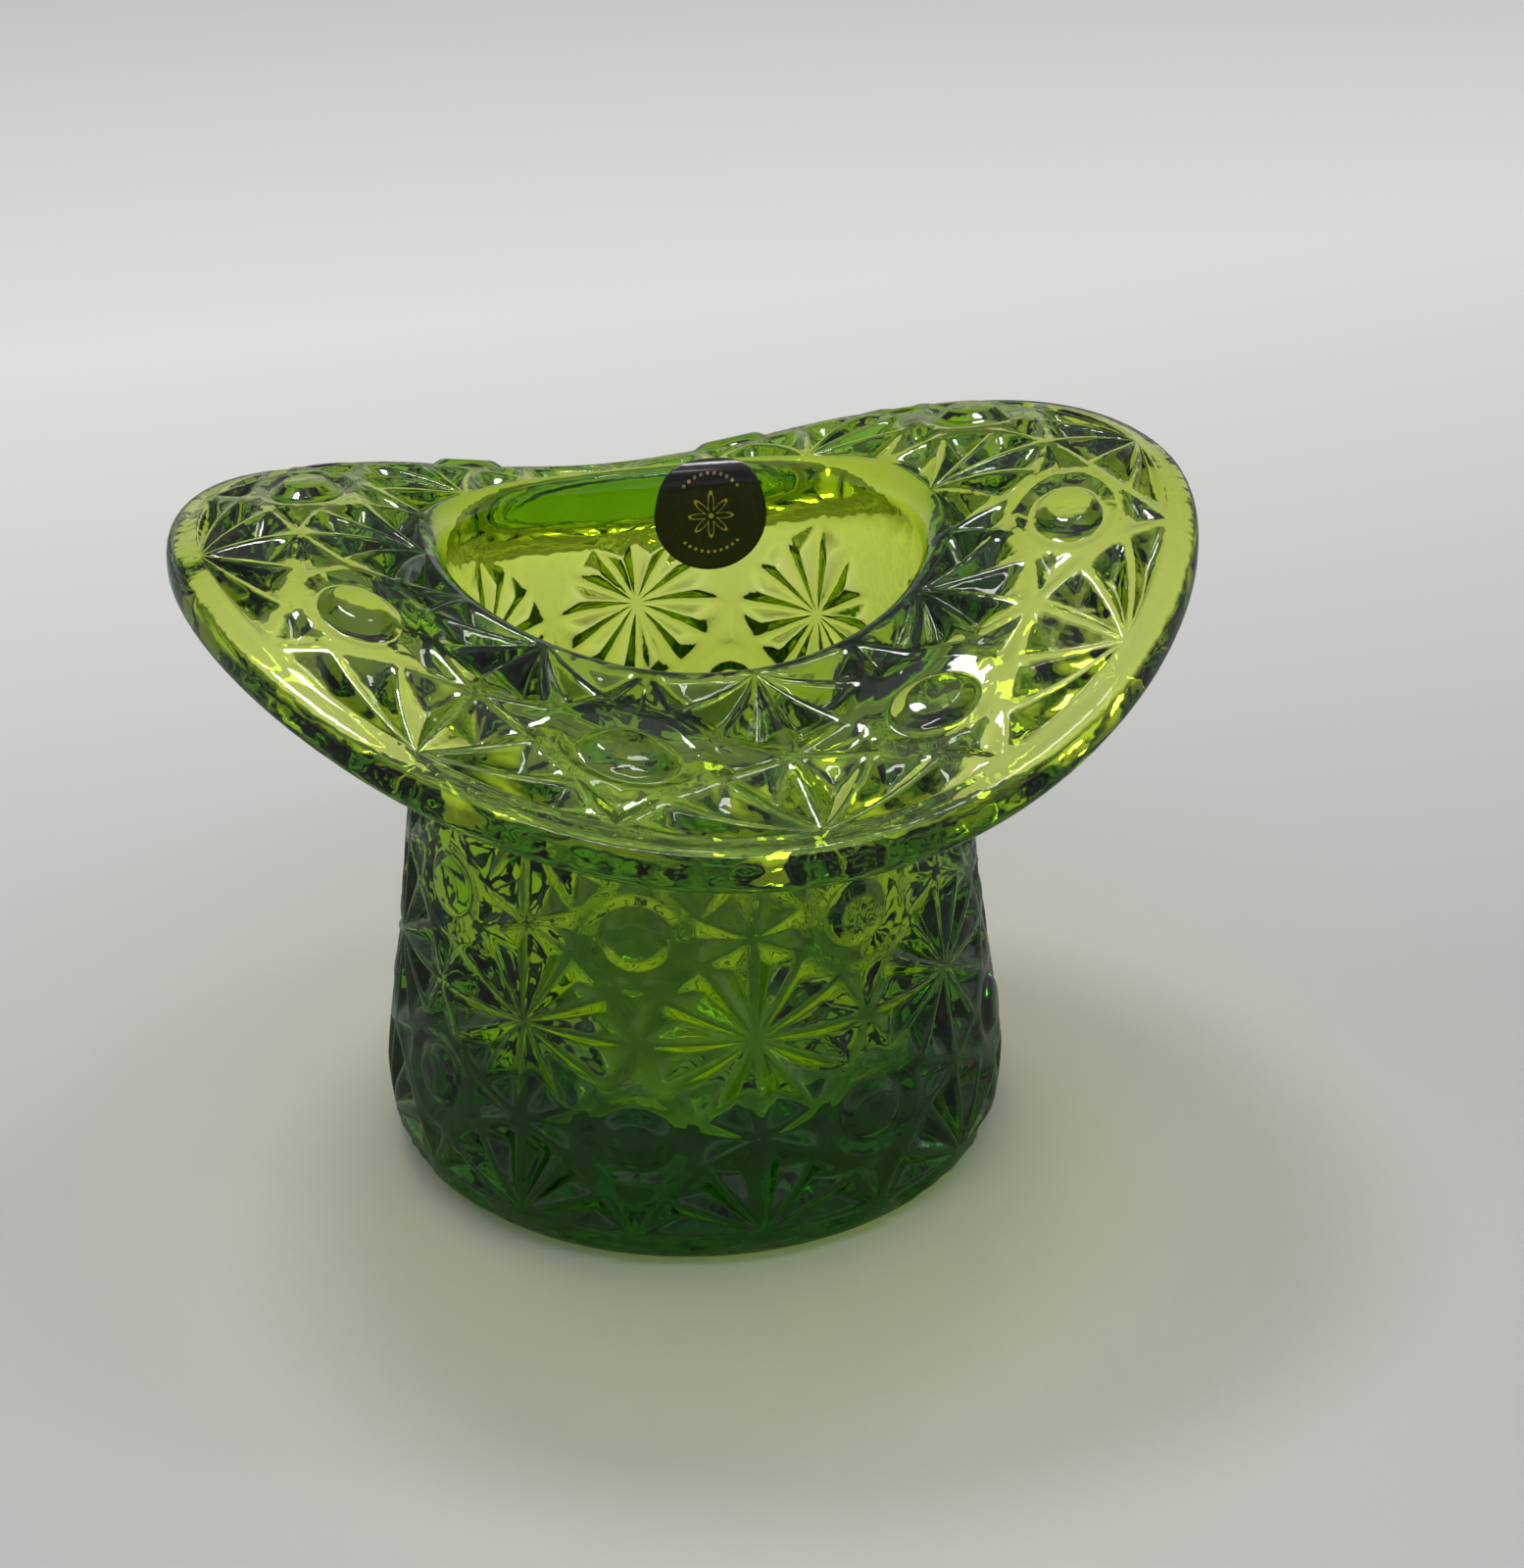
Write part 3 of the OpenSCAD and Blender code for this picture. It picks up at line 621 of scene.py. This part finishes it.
def lamp(name, at, size, watts):
    """A soft lamp at a place, an oval of a width and a height, turned to shine on the hat."""
    light = bpy.data.lights.new(name, "AREA")
    light.shape, light.energy = "ELLIPSE", watts
    light.size, light.size_y = size
    aim = Vector(np.array(LAMP_AIM) - np.array(at)).to_track_quat("-Z", "Y")
    shown(name, light).matrix_world = Matrix.Translation(at) @ aim.to_matrix().to_4x4()


def studio():
    """Surroundings: an even light for matt things, and a ramp of greys by height for all that is
    seen straight, in a mirror or through glass."""
    world = bpy.data.worlds.new("studio")
    bpy.context.scene.world = world
    world.use_nodes = True
    sky = world.node_tree
    path = node(sky, "ShaderNodeLightPath").outputs
    glass = calc(sky, "MAXIMUM", path["Is Glossy Ray"], path["Is Transmission Ray"])
    seen = calc(sky, "MAXIMUM", path["Is Camera Ray"], glass)
    way = node(sky, "ShaderNodeTexCoord").outputs["Generated"]
    height = node(sky, "ShaderNodeSeparateXYZ", {0: way}).outputs[2]
    tone = grey_ramp(sky, height, SKY_TONES)
    soft = node(sky, "ShaderNodeBackground", {"Color": WHITE, "Strength": SKY_LIGHT})
    plain = node(sky, "ShaderNodeBackground", {"Color": tone, "Strength": 1.0})
    both = {0: seen, 1: soft.outputs[0], 2: plain.outputs[0]}
    fill(sky, sky.nodes["World Output"], {
        "Surface": node(sky, "ShaderNodeMixShader", both).outputs[0]})


def camera():
    """The photographed view: place, aim, roll, focal length and shift of the picture's middle."""
    yaw = VIEW_SWING - VIEW_TURN
    level = np.cos(VIEW_PITCH)
    ahead = np.array([np.sin(yaw) * level, np.cos(yaw) * level, -np.sin(VIEW_PITCH)])
    right = np.array([np.cos(yaw), -np.sin(yaw), 0.0])
    up = np.cross(right, ahead)
    cos, sin = np.cos(VIEW_ROLL), np.sin(VIEW_ROLL)
    right, up = cos * right + sin * up, cos * up - sin * right
    data = bpy.data.cameras.new("camera")
    data.sensor_width = data.sensor_height = SENSOR
    data.sensor_fit = "VERTICAL"
    data.lens = SENSOR * FOCAL / PICTURE_H
    data.shift_x = (PICTURE_W / 2 - MIDDLE_X) / PICTURE_H
    data.shift_y = (MIDDLE_Y - PICTURE_H / 2) / PICTURE_H
    data.clip_start, data.clip_end = CLIP
    place = np.eye(4)
    place[:3, 0], place[:3, 1], place[:3, 2] = right, up, -ahead
    place[:3, 3] = [VIEW_FAR * np.sin(VIEW_TURN), -VIEW_FAR * np.cos(VIEW_TURN), VIEW_HIGH]
    made = shown("camera", data)
    made.matrix_world = Matrix(place.tolist())
    bpy.context.scene.camera = made


handled = handled_surface()
hat = mesh_piece("hat_glass", [*smooth_grids(), *relief_grids()], green_glass(handled))
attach(hat, "root")
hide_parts("glass_body")

label_points, label_marks = label_grid()
label = mesh_piece("label_disc", [label_points], label_foil(handled), label_marks)
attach(label, "root")
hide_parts("foil_label")

floor = floor_piece()
floor.location.z = -FLOOR_GAP

for name, at, size, watts in LAMPS:
    lamp(name, at, size, watts)
studio()
camera()
bpy.context.scene.view_settings.view_transform = "Standard"
